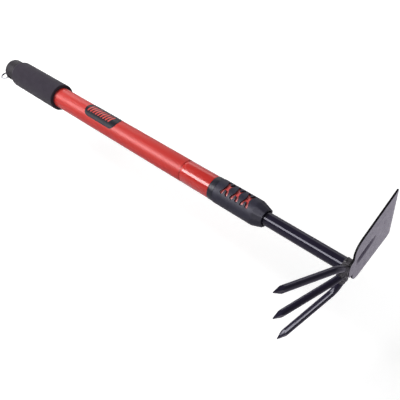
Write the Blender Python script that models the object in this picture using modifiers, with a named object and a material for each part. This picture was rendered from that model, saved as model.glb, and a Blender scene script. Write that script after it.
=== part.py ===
"""Telescopic fork hoe: a hand tool with a hoe blade on one side of its neck and three tines on the other.

All sizes are in metres. +X runs along the handle from its butt to the head, +Y points to the blade's
cutting edge, the tines point to -Y, and +Z is up when the tool lies on its side. The origin is the
centre of the flat end of the butt cap, on the handle's axis.
"""

import math

import bmesh
import bpy
from mathutils import Matrix, Vector

# Clearance between pieces that touch, and the facets of round pieces
GAP = 0.0003
LARGE_FACETS = 40
SMALL_FACETS = 24
SHARP_ANGLE = math.radians(35)

# Outer tube, with the rolled groove that holds the lock body
TUBE_OD = 0.0300
TUBE_WALL = 0.0009
TUBE_LENGTH = 0.4230
GROOVE_FROM_END = 0.0463
GROOVE_DEPTH = 0.0006
GROOVE_HALF_WIDTH = 0.0022

# Butt cap, its diagonal hole and the ring to hang the tool by
CAP_WALL = 0.0012
CAP_SOLID = 0.0140
CAP_SKIRT = 0.0075
CAP_PLUG_LENGTH = 0.0391
CAP_PLUG_WALL = 0.0023
CAP_ROUNDING = 0.0022
HANG_HOLE_R = 0.0025
HANG_HOLE_INSET = 0.0070
HANG_HOLE_EXIT = 0.0095
RING_WIRE_R = 0.0008
RING_R = 0.0070
RING_SEAT = 0.0015

# Foam grip
GRIP_THICKNESS = 0.00465
GRIP_LENGTH = 0.1084
GRIP_TOP_ROUNDING = 0.0034
GRIP_TOP_STRETCH = 1.6
GRIP_END_ROUNDING = 0.0018

# Printed label on the outer tube
LABEL_FROM_GRIP = 0.0673
LABEL_LENGTH = 0.0652
LABEL_NOSE_LENGTH = 0.0140
LABEL_TAIL_LENGTH = 0.0095
LABEL_HALF_ANGLE = math.radians(49)
LABEL_END_SHARE = 0.22
LABEL_THICKNESS = 0.00025
UP_ANGLE = math.radians(85)

# Lock body: spigot in the tube, flange, neck and slotted fingers
SPIGOT_LENGTH = 0.0533
FLANGE_LENGTH = 0.0078
FLANGE_STEP = 0.0003
NECK_LENGTH = 0.0310
FINGER_LENGTH = 0.0165
FINGER_WALL = 0.0013
FINGER_TAPER = 0.0012
SLOT_WIDTH = 0.0016
SLOT_LENGTH = 0.0310
BORE_CLEARANCE = 0.0004

# Lock nut: hard core, rubber grip with cut windows, clamping ring inside
NUT_LENGTH = 0.0698
NUT_STEP = 0.00075
SKIN_THICKNESS = 0.00125
CORE_WALL = 0.0015
CORE_FRONT_WALL = 0.0052
CLAMP_LENGTH = 0.0160
CLAMP_BEHIND_FINGERS = 0.0010
CORE_MOUTH_CLEARANCE = 0.0012
MOUTH_CLEARANCE = 0.0013
NOSE_FLATS = 12
NOSE_TURN = math.radians(7.5)
NOSE_LENGTH = 0.0115
NOSE_LIP = 0.0020
WINDOW_ROWS = 2
WINDOWS_IN_ROW = 3
WINDOW_FIRST = 0.0145
WINDOW_PITCH = 0.0148
WINDOW_HALF_ANGLE = math.radians(42)
WINDOW_HALF_WIDTH = 0.0052
WINDOW_STROKE = 0.0030
WINDOW_WAIST = 0.0027
WINDOW_CROTCH = 0.36

# Inner tube, its stop pin, plugs and guide bush; the bush slides from the cap's plug to the lock body
INNER_OD = 0.0165
INNER_WALL = 0.0012
INNER_SHOWN = 0.1029
BUSH_LENGTH = 0.0255
BUSH_RECESS = 0.0075
PIN_R = 0.0015
PIN_PROUD = 0.0025
END_PLUG_LENGTH = 0.0140
END_PLUG_FLANGE = 0.0045
NECK_PLUG_LENGTH = 0.0280

# Hoe blade
BLADE_FROM_TUBE = 0.0060
BLADE_THICKNESS = 0.0017
BLADE_LEAN = math.radians(2.0)
BLADE_REACH = 0.0880
BLADE_EDGE_HALF = 0.0393
BLADE_SHOULDER_HALF = 0.0332
BLADE_SHOULDER_DROP = 0.0150
BLADE_TAB_HALF = 0.0128
BLADE_TAB_DROP = 0.0066
BLADE_NOTCH_R = 0.0014
BEVEL_LENGTH = 0.0075
BEVEL_EDGE_SHARE = 0.3
RIB_DEPTH = 0.0022
RIB_HALF_WIDTH = 0.0140
RIB_START = 0.0080
RIB_LENGTH = 0.0420

# Tines
TINE_R = 0.0039
TINE_PITCH = 0.0085
TINE_TOP = 0.0007
TINE_STEM = 0.0175
TINE_STEM_SPREAD = 0.0150
TINE_STEM_BACK = 0.0039
TINE_TIP_DROP = 0.0936
TINE_SIDE_RISE = 0.0025
TINE_TIP_SPREAD = 0.0509
TINE_TIP_BACK = 0.0266
TINE_SIDE_FORWARD = 0.0012
TINE_POINT = 0.0125
TINE_BLUNT = 0.0004
TINE_FROM_TUBE = 0.0036

# Welds
NECK_WELD_LEG = 0.0013
NECK_WELD_BACK = 0.0018
TINE_WELD_HALF = (0.0056, 0.0070, 0.0130)
TINE_WELD_RIPPLE = 0.05

# Places and radii worked out from the sizes above
tube_r = TUBE_OD / 2
bore_r = tube_r - TUBE_WALL
cap_r = tube_r + GAP + CAP_WALL
cap_length = CAP_SOLID + CAP_SKIRT
tube_start = CAP_SOLID + GAP
tube_end = tube_start + TUBE_LENGTH
groove_x = tube_end - GROOVE_FROM_END
grip_start = cap_length + GAP
grip_end = grip_start + GRIP_LENGTH
grip_r = tube_r + GAP + GRIP_THICKNESS
label_start = grip_end + LABEL_FROM_GRIP

inner_r = INNER_OD / 2
inner_bore_r = inner_r - INNER_WALL
spigot_r = bore_r - GAP
guide_r = inner_r + BORE_CLEARANCE
spigot_start = tube_end - SPIGOT_LENGTH
flange_start = tube_end + GAP
flange_end = flange_start + FLANGE_LENGTH
flange_r = tube_r + FLANGE_STEP
neck_end = flange_end + NECK_LENGTH
finger_end = neck_end + FINGER_LENGTH

nut_start = flange_end + GAP
nut_end = nut_start + NUT_LENGTH
nut_r = tube_r + NUT_STEP
skin_bore_r = nut_r - SKIN_THICKNESS
core_r = skin_bore_r - GAP
core_bore_r = core_r - CORE_WALL
neck_r = core_bore_r - GAP
finger_tip_r = guide_r + FINGER_WALL
finger_root_r = finger_tip_r + FINGER_TAPER
clamp_start = finger_end + CLAMP_BEHIND_FINGERS - CLAMP_LENGTH
clamp_end = finger_end + CLAMP_BEHIND_FINGERS
core_front = clamp_end + GAP
core_end = core_front + CORE_FRONT_WALL
core_mouth_r = inner_r + CORE_MOUTH_CLEARANCE
mouth_r = inner_r + MOUTH_CLEARANCE

inner_end = nut_end + INNER_SHOWN
inner_start = CAP_SOLID + CAP_PLUG_LENGTH + GAP + END_PLUG_FLANGE + GAP
bush_back = inner_start
bush_front = bush_back + BUSH_LENGTH
pin_x = bush_front - BUSH_RECESS / 2
blade_back = inner_end + BLADE_FROM_TUBE
tine_x = inner_end + TINE_FROM_TUBE
tine_top_y = -(inner_r + TINE_TOP)
neck_weld_r = inner_r + NECK_WELD_LEG
neck_weld_front = blade_back - (neck_weld_r + GAP) * math.tan(BLADE_LEAN) - GAP
neck_weld_back = inner_end - NECK_WELD_BACK


def clear_scene():
    """Empties the file of objects, so that the model can be built again in it."""
    for obj in list(bpy.data.objects):
        bpy.data.objects.remove(obj, do_unlink=True)


def new_collection(name):
    collection = bpy.data.collections.new(name)
    bpy.context.scene.collection.children.link(collection)
    return collection


def new_material(name, colour, roughness, metallic=0.0):
    material = bpy.data.materials.new(name)
    material.use_nodes = True
    shader = material.node_tree.nodes["Principled BSDF"]
    shader.inputs["Base Color"].default_value = (*colour, 1.0)
    shader.inputs["Roughness"].default_value = roughness
    shader.inputs["Metallic"].default_value = metallic
    material.diffuse_color = (*colour, 1.0)
    return material


def new_object(name, data, collection):
    obj = bpy.data.objects.new(name, data)
    collection.objects.link(obj)
    return obj


def bake(obj):
    """Swaps the object's data for the mesh that its curve or its modifiers make."""
    bpy.context.view_layer.update()
    evaluated = obj.evaluated_get(bpy.context.evaluated_depsgraph_get())
    mesh = bpy.data.meshes.new_from_object(evaluated)
    bm = bmesh.new()
    bm.from_mesh(mesh)
    bmesh.ops.remove_doubles(bm, verts=bm.verts, dist=1e-6)
    bm.to_mesh(mesh)
    bm.free()
    mesh.transform(obj.matrix_world)
    name = obj.name
    collection = obj.users_collection[0]
    bpy.data.objects.remove(obj)
    return new_object(name, mesh, collection)


def finish(obj, material, carrier):
    """Gives a piece its material and shading, and hangs it on its body's empty with its origin there."""
    mesh = obj.data
    mesh.materials.clear()
    mesh.materials.append(material)
    mesh.shade_smooth()
    mesh.set_sharp_from_angle(angle=SHARP_ANGLE)
    mesh.transform(Matrix.Translation(-carrier.location))
    obj.parent = carrier
    return obj


def turned(name, profile, facets, collection, closed=True):
    """A profile of (radius, x) points turned about the handle's axis.

    The points run from high x to low x on the outer side.
    """
    points = [(radius, 0.0, x) for radius, x in profile]
    edges = [(i, i + 1) for i in range(len(points) - 1)]
    if closed:
        edges.append((len(points) - 1, 0))
    mesh = bpy.data.meshes.new(name)
    mesh.from_pydata(points, edges, [])
    obj = new_object(name, mesh, collection)
    screw = obj.modifiers.new("Turn", "SCREW")
    screw.axis = "Z"
    screw.angle = math.tau
    screw.steps = facets
    screw.render_steps = facets
    screw.use_merge_vertices = True
    screw.merge_threshold = 1e-6
    obj = bake(obj)
    obj.data.transform(Matrix.Rotation(math.radians(90), 4, "Y"))
    return obj


def round_corner(centre_r, centre_x, radius, start, end, steps=4, stretch=1.0):
    """Profile points on an arc, stretched along X; the angle runs from the radius, 0, to +X, 90 degrees."""
    points = []
    for i in range(steps + 1):
        angle = math.radians(start + (end - start) * i / steps)
        points.append((centre_r + radius * math.cos(angle), centre_x + radius * stretch * math.sin(angle)))
    return points


def rod(name, start, end, radius, facets, collection):
    """A straight round rod from one point to another."""
    axis = Vector(end) - Vector(start)
    bpy.ops.mesh.primitive_cylinder_add(vertices=facets, radius=radius, depth=axis.length)
    obj = bpy.context.object
    obj.name = name
    turn = axis.to_track_quat("Z", "Y").to_matrix().to_4x4()
    obj.data.transform(Matrix.Translation((Vector(start) + Vector(end)) / 2) @ turn)
    move_to(obj, collection)
    return obj


def block(name, low, high, collection):
    """A plain box between two corners."""
    bpy.ops.mesh.primitive_cube_add(size=1.0)
    obj = bpy.context.object
    obj.name = name
    low, high = Vector(low), Vector(high)
    size = high - low
    obj.data.transform(Matrix.Translation((low + high) / 2) @ Matrix.Diagonal((*size, 1.0)))
    move_to(obj, collection)
    return obj


def move_to(obj, collection):
    for old in list(obj.users_collection):
        old.objects.unlink(obj)
    collection.objects.link(obj)


def mark_cutter(obj):
    obj.hide_render = True
    obj.display_type = "WIRE"
    return obj


def cut(obj, cutter, operation="DIFFERENCE"):
    mark_cutter(cutter)
    modifier = obj.modifiers.new(cutter.name, "BOOLEAN")
    modifier.object = cutter
    modifier.operation = operation
    modifier.solver = "EXACT"


def make_outer_tube(parts, material, carrier):
    """Steel tube with one rolled groove near its lower end."""
    ramp = GROOVE_HALF_WIDTH / 2
    outer = [
        (tube_r, tube_end),
        (tube_r, groove_x + GROOVE_HALF_WIDTH),
        (tube_r - GROOVE_DEPTH * 0.8, groove_x + ramp),
        (tube_r - GROOVE_DEPTH, groove_x),
        (tube_r - GROOVE_DEPTH * 0.8, groove_x - ramp),
        (tube_r, groove_x - GROOVE_HALF_WIDTH),
        (tube_r, tube_start),
    ]
    inner = [(radius - TUBE_WALL, x) for radius, x in reversed(outer)]
    return finish(turned("outer_tube", outer + inner, LARGE_FACETS, parts), material, carrier)


def make_end_cap(parts, cutters, material, carrier):
    """Moulded cap: a skirt outside the tube, a hollow plug inside it, and a diagonal hole through its rim."""
    plug_r = bore_r - GAP
    plug_bore_r = plug_r - CAP_PLUG_WALL
    skirt_bore_r = tube_r + GAP
    plug_end = CAP_SOLID + CAP_PLUG_LENGTH
    hollow_start = CAP_SOLID + CAP_PLUG_WALL
    lip = CAP_WALL / 3
    profile = [
        (0.0, hollow_start),
        (plug_bore_r, hollow_start),
        (plug_bore_r, plug_end),
        (plug_r, plug_end),
        (plug_r, CAP_SOLID),
        (skirt_bore_r, CAP_SOLID),
        (skirt_bore_r, cap_length),
        (cap_r - lip, cap_length),
        (cap_r, cap_length - lip),
    ]
    profile += round_corner(cap_r - CAP_ROUNDING, CAP_ROUNDING, CAP_ROUNDING, 0, -90)
    profile.append((0.0, 0.0))
    obj = turned("end_cap", profile, LARGE_FACETS, parts, closed=False)
    entry, exit_point = hang_hole_ends()
    along = (exit_point - entry).normalized() * CAP_SOLID
    cutter = rod("hang_hole_cutter", entry - along, exit_point + along, HANG_HOLE_R, SMALL_FACETS, cutters)
    cut(obj, cutter)
    return finish(obj, material, carrier)


def hang_hole_ends():
    """Where the hole's axis meets the cap's flat end and its round side."""
    entry = Vector((0.0, -(cap_r - HANG_HOLE_INSET), 0.0))
    exit_point = Vector((HANG_HOLE_EXIT, -cap_r, 0.0))
    return entry, exit_point


def make_hang_ring(parts, material, carrier):
    """Wire ring through the cap's rim; at rest it lies level beside the butt."""
    entry, exit_point = hang_hole_ends()
    along = (exit_point - entry).normalized()
    outward = Vector((along.y, -along.x, 0.0))
    centre = (entry + exit_point) / 2 + outward * (RING_R - RING_SEAT)
    bpy.ops.mesh.primitive_torus_add(
        major_segments=36, minor_segments=8, major_radius=RING_R, minor_radius=RING_WIRE_R)
    obj = bpy.context.object
    obj.name = "hang_ring"
    obj.data.transform(Matrix.Translation(centre))
    move_to(obj, parts)
    return finish(obj, material, carrier)


def make_foam_grip(parts, material, carrier):
    """Foam sleeve over the tube, rounded at both ends."""
    sleeve_bore_r = tube_r + GAP
    profile = round_corner(
        grip_r - GRIP_END_ROUNDING, grip_end - GRIP_END_ROUNDING, GRIP_END_ROUNDING, 90, 0, steps=3)
    shoulder_x = grip_start + GRIP_TOP_ROUNDING * GRIP_TOP_STRETCH
    profile += round_corner(
        grip_r - GRIP_TOP_ROUNDING, shoulder_x, GRIP_TOP_ROUNDING, 0, -90, stretch=GRIP_TOP_STRETCH)
    profile += [(sleeve_bore_r, grip_start), (sleeve_bore_r, grip_end)]
    return finish(turned("foam_grip", profile, LARGE_FACETS, parts), material, carrier)


def round_end(share):
    """Share of the label's full width at a share of its rounded end's length."""
    left = 1.0 - min(share, 1.0)
    return LABEL_END_SHARE + (1.0 - LABEL_END_SHARE) * math.sqrt(1.0 - left * left)


def make_label(parts, material, carrier):
    """Film label wrapped on the tube's upper side, rounded at both ends and more so towards the grip."""
    label_r = tube_r + GAP
    bm = bmesh.new()
    bmesh.ops.create_grid(bm, x_segments=18, y_segments=12, size=1.0)
    for vert in bm.verts:
        along = (1 - math.cos((vert.co.x + 1) / 2 * math.pi)) / 2 * LABEL_LENGTH
        swell = min(round_end(along / LABEL_NOSE_LENGTH), round_end((LABEL_LENGTH - along) / LABEL_TAIL_LENGTH))
        angle = UP_ANGLE - vert.co.y * LABEL_HALF_ANGLE * swell
        vert.co = (label_start + along, label_r * math.cos(angle), label_r * math.sin(angle))
    bmesh.ops.recalc_face_normals(bm, faces=bm.faces)
    up = Vector((0.0, math.cos(UP_ANGLE), math.sin(UP_ANGLE)))
    if sum((face.normal.dot(up) for face in bm.faces)) < 0:
        bmesh.ops.reverse_faces(bm, faces=bm.faces)
    mesh = bpy.data.meshes.new("label")
    bm.to_mesh(mesh)
    bm.free()
    obj = new_object("label", mesh, parts)
    film = obj.modifiers.new("Film", "SOLIDIFY")
    film.thickness = LABEL_THICKNESS
    film.offset = 1.0
    return finish(obj, material, carrier)


def make_lock_body(parts, cutters, material, carrier):
    """Moulded lock body: spigot held by the rolled groove, flange, neck for the nut and four fingers."""
    relief = GROOVE_DEPTH + GAP / 3
    ring_half = GROOVE_HALF_WIDTH + GAP
    profile = [
        (finger_tip_r, finger_end),
        (finger_root_r, neck_end),
        (neck_r, neck_end - (neck_r - finger_root_r)),
        (neck_r, flange_end),
        (flange_r, flange_end),
        (flange_r, flange_start),
        (spigot_r, flange_start),
        (spigot_r, groove_x + ring_half),
        (spigot_r - relief, groove_x + ring_half),
        (spigot_r - relief, groove_x - ring_half),
        (spigot_r, groove_x - ring_half),
        (spigot_r, spigot_start),
        (guide_r, spigot_start),
        (guide_r, finger_end),
    ]
    obj = turned("lock_body", profile, LARGE_FACETS, parts)
    half = SLOT_WIDTH / 2
    reach = neck_r + GAP
    low_x, high_x = finger_end - SLOT_LENGTH, finger_end + SLOT_WIDTH
    upright = block("finger_slot_cutter_z", (low_x, -half, -reach), (high_x, half, reach), cutters)
    level = block("finger_slot_cutter_y", (low_x, -reach, -half), (high_x, reach, half), cutters)
    cut(obj, upright)
    cut(obj, level)
    return finish(obj, material, carrier)


def make_clamp_ring(parts, material, carrier):
    """Tapered ring that the nut pushes onto the fingers; it travels with the nut but doesn't turn."""
    slope = FINGER_TAPER / FINGER_LENGTH
    back_r = finger_tip_r + slope * (finger_end - clamp_start) + GAP
    front_r = finger_tip_r + slope * (finger_end - clamp_end) + GAP
    outside_r = core_bore_r - GAP
    profile = [
        (outside_r, clamp_end),
        (outside_r, clamp_start),
        (back_r, clamp_start),
        (front_r, clamp_end),
    ]
    return finish(turned("clamp_ring", profile, LARGE_FACETS, parts), material, carrier)


def make_lock_nut(parts, material, carrier):
    """Hard core of the lock nut, seen red through the windows of its rubber skin."""
    profile = [
        (core_r, core_end),
        (core_r, nut_start),
        (core_bore_r, nut_start),
        (core_bore_r, core_front),
        (core_mouth_r, core_front),
        (core_mouth_r, core_end),
    ]
    return finish(turned("lock_nut", profile, LARGE_FACETS, parts), material, carrier)


def window_outline():
    """Outline of one crossed window as (x, share of its half height), point by point round its four legs."""
    inside = WINDOW_HALF_WIDTH - WINDOW_STROKE
    corner = WINDOW_STROKE * 0.25
    bow = WINDOW_STROKE * 0.1
    leg = [
        (WINDOW_WAIST, 0.0),
        (WINDOW_WAIST + bow, WINDOW_CROTCH * 0.6),
        (WINDOW_HALF_WIDTH - bow, (WINDOW_CROTCH + 1.0) / 2),
        (WINDOW_HALF_WIDTH, 0.93),
        (WINDOW_HALF_WIDTH - corner, 1.0),
        (inside + corner, 1.0),
        (inside, 0.93),
        (inside - bow, (WINDOW_CROTCH + 1.0) / 2),
    ]
    crotch = [(0.0, WINDOW_CROTCH)]
    upper = leg + crotch + [(-x, y) for x, y in reversed(leg)]
    lower = [(-x, -y) for x, y in upper[1:-1]]
    return upper + lower


def make_window_cutter(cutters):
    """All the nut's windows as one cutter, widening outwards through the skin."""
    outline = window_outline()
    levels = (core_r * 0.6, nut_r * 1.7)
    bm = bmesh.new()
    for row in range(WINDOW_ROWS):
        middle = UP_ANGLE + math.tau * row / WINDOW_ROWS
        for i in range(WINDOWS_IN_ROW):
            centre_x = nut_start + WINDOW_FIRST + WINDOW_PITCH * i
            rings = []
            for radius in levels:
                ring = []
                for x, share in outline:
                    angle = middle + share * WINDOW_HALF_ANGLE
                    place = (centre_x + x, radius * math.cos(angle), radius * math.sin(angle))
                    ring.append(bm.verts.new(place))
                rings.append(ring)
            low, high = rings
            bm.faces.new(reversed(low))
            bm.faces.new(high)
            for j in range(len(outline)):
                k = (j + 1) % len(outline)
                bm.faces.new((low[j], low[k], high[k], high[j]))
    bmesh.ops.triangulate(bm, faces=bm.faces)
    bmesh.ops.recalc_face_normals(bm, faces=bm.faces)
    mesh = bpy.data.meshes.new("window_cutter")
    bm.to_mesh(mesh)
    bm.free()
    return new_object("window_cutter", mesh, cutters)


def make_nose_cutter(cutters):
    """Many-sided taper that the nut's nose is trimmed to; it is wider than the nut behind the nose."""
    lip_apothem = mouth_r + NOSE_LIP
    share = math.cos(math.pi / NOSE_FLATS)
    slope = (nut_r - lip_apothem / share) / NOSE_LENGTH
    back = nut_start - NOSE_LENGTH
    length = nut_end - back
    back_r = lip_apothem / share + slope * length
    bpy.ops.mesh.primitive_cone_add(
        vertices=NOSE_FLATS, radius1=back_r, radius2=lip_apothem / share, depth=length)
    obj = bpy.context.object
    obj.name = "nose_cutter"
    turn = Matrix.Rotation(NOSE_TURN, 4, "X")
    to_x = Matrix.Rotation(math.radians(90), 4, "Y")
    obj.data.transform(Matrix.Translation((back + length / 2, 0.0, 0.0)) @ turn @ to_x)
    move_to(obj, cutters)
    return obj


def make_nut_grip(parts, cutters, material, carrier):
    """Rubber skin over the core: cut windows, and a faceted nose round the inner tube."""
    chamfer = SKIN_THICKNESS / 2
    skin_front = core_end + GAP
    profile = [
        (nut_r, nut_end),
        (nut_r, nut_start + chamfer),
        (nut_r - chamfer, nut_start),
        (skin_bore_r, nut_start),
        (skin_bore_r, skin_front),
        (mouth_r, skin_front),
        (mouth_r, nut_end),
    ]
    obj = turned("nut_grip", profile, LARGE_FACETS, parts)
    cut(obj, make_nose_cutter(cutters), "INTERSECT")
    cut(obj, make_window_cutter(cutters))
    return finish(obj, material, carrier)


def make_guide_bush(parts, material, carrier):
    """Bush that keeps the inner tube central in the outer one and stops against the lock body."""
    recess_start = bush_front - BUSH_RECESS
    recess_r = inner_r + PIN_PROUD + GAP * 2
    lead = GAP * 3
    profile = [
        (spigot_r - lead, bush_front),
        (spigot_r, bush_front - lead),
        (spigot_r, bush_back + lead),
        (spigot_r - lead, bush_back),
        (guide_r, bush_back),
        (guide_r, recess_start),
        (recess_r, recess_start),
        (recess_r, bush_front),
    ]
    return finish(turned("guide_bush", profile, LARGE_FACETS, parts), material, carrier)


def make_inner_tube(parts, cutters, material, carrier):
    """Thin steel tube that slides out of the lock, with a cross hole for its stop pin."""
    profile = [
        (inner_r, inner_end),
        (inner_r, inner_start),
        (inner_bore_r, inner_start),
        (inner_bore_r, inner_end),
    ]
    obj = turned("inner_tube", profile, LARGE_FACETS, parts)
    reach = TUBE_OD / 2
    ends = (pin_x, 0.0, -reach), (pin_x, 0.0, reach)
    cutter = rod("pin_hole_cutter", *ends, PIN_R + GAP, SMALL_FACETS, cutters)
    cut(obj, cutter)
    return finish(obj, material, carrier)


def make_stop_pin(parts, material, carrier):
    """Cross pin in the inner tube, inside the recess of the guide bush."""
    reach = inner_r + PIN_PROUD
    obj = rod("stop_pin", (pin_x, 0.0, -reach), (pin_x, 0.0, reach), PIN_R, SMALL_FACETS, parts)
    return finish(obj, material, carrier)


def make_end_plug(parts, material, carrier):
    """Flanged plug in the upper end of the inner tube, which keeps the guide bush on."""
    flange_front = inner_start - GAP
    plug_r = inner_bore_r - GAP
    profile = [
        (0.0, inner_start + END_PLUG_LENGTH),
        (plug_r, inner_start + END_PLUG_LENGTH),
        (plug_r, flange_front),
        (inner_r + PIN_PROUD, flange_front),
        (inner_r + PIN_PROUD, flange_front - END_PLUG_FLANGE),
        (0.0, flange_front - END_PLUG_FLANGE),
    ]
    return finish(turned("end_plug", profile, LARGE_FACETS, parts, closed=False), material, carrier)


def make_neck_plug(parts, material, carrier):
    """Solid steel core in the lower end of the inner tube, which the blade is welded to."""
    plug_r = inner_bore_r - GAP
    front = blade_back - plug_r * math.tan(BLADE_LEAN) - GAP
    profile = [
        (0.0, front),
        (plug_r, front),
        (plug_r, inner_end - NECK_PLUG_LENGTH),
        (0.0, inner_end - NECK_PLUG_LENGTH),
    ]
    return finish(turned("neck_plug", profile, LARGE_FACETS, parts, closed=False), material, carrier)


def blade_outline():
    """The blade's rows of (distance y from the handle's axis, half width), from its tab to its edge."""
    tab = [(0.0, 0.50), (0.08, 0.72), (0.24, 0.86), (0.46, 0.95), (0.76, 1.0)]
    shoulder = [
        (0.10, 0.02), (0.145, 0.25), (0.21, 0.50), (0.30, 0.66),
        (0.42, 0.78), (0.57, 0.88), (0.77, 0.955), (1.0, 1.0)]
    span = BLADE_SHOULDER_HALF - BLADE_TAB_HALF
    rows = [(BLADE_TAB_DROP * (share - 1), BLADE_TAB_HALF * width) for share, width in tab]
    rows += [(BLADE_SHOULDER_DROP * share, BLADE_TAB_HALF + span * width) for share, width in shoulder]
    rows.append((BLADE_REACH, BLADE_EDGE_HALF))
    return rows


def blade_half_width(y):
    """Half the blade's width at a distance y from the handle's axis."""
    rows = blade_outline()
    for (low, low_half), (high, high_half) in zip(rows, rows[1:]):
        if y <= high:
            share = max((y - low) / (high - low), 0.0)
            return low_half + (high_half - low_half) * share
    return BLADE_EDGE_HALF


def blade_rows():
    """Distances from the axis at which the blade's grid has a row of points."""
    rows = [y for y, half in blade_outline()][:-1]
    shoulder = BLADE_SHOULDER_DROP
    flat_start = max(RIB_START + RIB_LENGTH, shoulder) + GAP
    steps = 7
    rows += [shoulder + (flat_start - shoulder) * (i + 1) / steps for i in range(steps)]
    rows += [BLADE_REACH - BEVEL_LENGTH, BLADE_REACH]
    return rows


def rib_depth(y, z):
    """How far the rib, pressed in from the front, pushes the sheet back at a point of the blade."""
    share = (y - RIB_START) / RIB_LENGTH
    across = abs(z) / RIB_HALF_WIDTH
    if not 0.0 < share < 1.0 or across >= 1.0:
        return 0.0
    return RIB_DEPTH * math.sin(share * math.pi) * (math.cos(across * math.pi) + 1) / 2


def make_hoe_blade(parts, cutters, material, carrier):
    """Pressed steel blade: a tab over the tube's end, round shoulders, a rib and a ground cutting edge."""
    rows = blade_rows()
    columns = 15
    bm = bmesh.new()
    bmesh.ops.create_grid(bm, x_segments=columns - 1, y_segments=len(rows) - 1, size=1.0)
    edge_verts = set()
    for i, vert in enumerate(bm.verts):
        row = round((vert.co.y + 1) / 2 * (len(rows) - 1))
        y = rows[row]
        z = math.copysign(abs(vert.co.x) ** 1.5, vert.co.x) * blade_half_width(y)
        x = blade_back - y * math.tan(BLADE_LEAN) - rib_depth(y, z)
        vert.co = (x, y, z)
        if row == len(rows) - 1:
            edge_verts.add(i)
    bmesh.ops.recalc_face_normals(bm, faces=bm.faces)
    if sum(face.normal.x for face in bm.faces) < 0:
        bmesh.ops.reverse_faces(bm, faces=bm.faces)
    mesh = bpy.data.meshes.new("hoe_blade")
    bm.to_mesh(mesh)
    bm.free()
    obj = new_object("hoe_blade", mesh, parts)
    thick = obj.vertex_groups.new(name="thickness")
    for i in range(len(mesh.vertices)):
        thick.add([i], BEVEL_EDGE_SHARE if i in edge_verts else 1.0, "REPLACE")
    sheet = obj.modifiers.new("Sheet", "SOLIDIFY")
    sheet.thickness = BLADE_THICKNESS
    sheet.offset = 1.0
    sheet.vertex_group = "thickness"
    obj = bake(obj)
    for side in (1, -1):
        z = side * (BLADE_TAB_HALF + BLADE_NOTCH_R * 0.4)
        y = BLADE_SHOULDER_DROP * 0.10
        start = (blade_back - BLADE_THICKNESS * 2, y, z)
        end = (blade_back + BLADE_THICKNESS * 3, y, z)
        name = "notch_cutter_left" if side > 0 else "notch_cutter_right"
        cut(obj, rod(name, start, end, BLADE_NOTCH_R, 12, cutters))
    return finish(obj, material, carrier)


def tine_points(side):
    """Root, bend and tip of a tine's centre line; side is 1, 0 or -1."""
    outer = abs(side)
    root = Vector((tine_x + (1 - outer) * TINE_TOP, tine_top_y, side * TINE_PITCH))
    bend_z = side * (TINE_PITCH + TINE_STEM_SPREAD)
    bend = Vector((tine_x - TINE_STEM_BACK, tine_top_y - TINE_STEM, bend_z))
    tip_y = outer * TINE_SIDE_RISE - TINE_TIP_DROP
    tip_x = tine_x - TINE_TIP_BACK + outer * TINE_SIDE_FORWARD
    tip = Vector((tip_x, tip_y, side * TINE_TIP_SPREAD))
    return root, bend, tip


def tine_curve(name, side, room, collection):
    """The tine's round bar before its point is ground, or the room it takes in the weld."""
    root, bend, tip = tine_points(side)
    shaft = (tip - bend).normalized()
    reach = (bend - root).length / 3
    start = ((bend - shaft * reach) - root).normalized()
    curve = bpy.data.curves.new(name, "CURVE")
    curve.dimensions = "3D"
    curve.resolution_u = 5
    curve.bevel_depth = TINE_R + room
    curve.bevel_resolution = 4
    curve.use_fill_caps = True
    spline = curve.splines.new("BEZIER")
    spline.bezier_points.add(2)
    places = (root - start * room, bend, tip)
    for point, place, heading in zip(spline.bezier_points, places, (start, shaft, shaft)):
        point.co = place
        point.handle_left = place - heading * reach
        point.handle_right = place + heading * reach
    return bake(new_object(name, curve, collection))


def make_tine(name, side, parts, material, carrier):
    """Round bar with a point of four ground faces."""
    obj = tine_curve(name, side, 0.0, parts)
    _, bend, tip = tine_points(side)
    axis = (tip - bend).normalized()
    across = axis.cross(Vector((0.0, 0.0, 1.0))).normalized()
    other = axis.cross(across)
    slope = math.atan2(TINE_R - TINE_BLUNT, TINE_POINT)
    bm = bmesh.new()
    bm.from_mesh(obj.data)
    for outward in (across, -across, other, -other):
        bmesh.ops.bisect_plane(
            bm, geom=bm.verts[:] + bm.edges[:] + bm.faces[:], dist=1e-7, clear_outer=True,
            plane_co=tip + outward * TINE_BLUNT, plane_no=outward * math.cos(slope) + axis * math.sin(slope))
        bmesh.ops.holes_fill(bm, edges=[edge for edge in bm.edges if edge.is_boundary], sides=0)
    bmesh.ops.recalc_face_normals(bm, faces=bm.faces)
    bm.to_mesh(obj.data)
    bm.free()
    return finish(obj, material, carrier)


def make_neck_weld(parts, cutters, material, carrier):
    """Bead that joins the tube's end and its core to the back of the blade."""
    profile = [
        (neck_weld_r, neck_weld_front),
        (inner_r + NECK_WELD_LEG * 0.8, (neck_weld_front + inner_end) / 2),
        (inner_r + NECK_WELD_LEG * 0.35, neck_weld_back),
        (inner_r + GAP, neck_weld_back),
        (inner_r + GAP, inner_end + GAP),
        (inner_bore_r, inner_end + GAP),
        (inner_bore_r, neck_weld_front),
    ]
    obj = turned("neck_weld", profile, LARGE_FACETS, parts)
    for side in (1, 0, -1):
        cut(obj, tine_curve(f"neck_weld_cutter_{side + 1}", side, GAP, cutters))
    return finish(obj, material, carrier)


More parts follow.
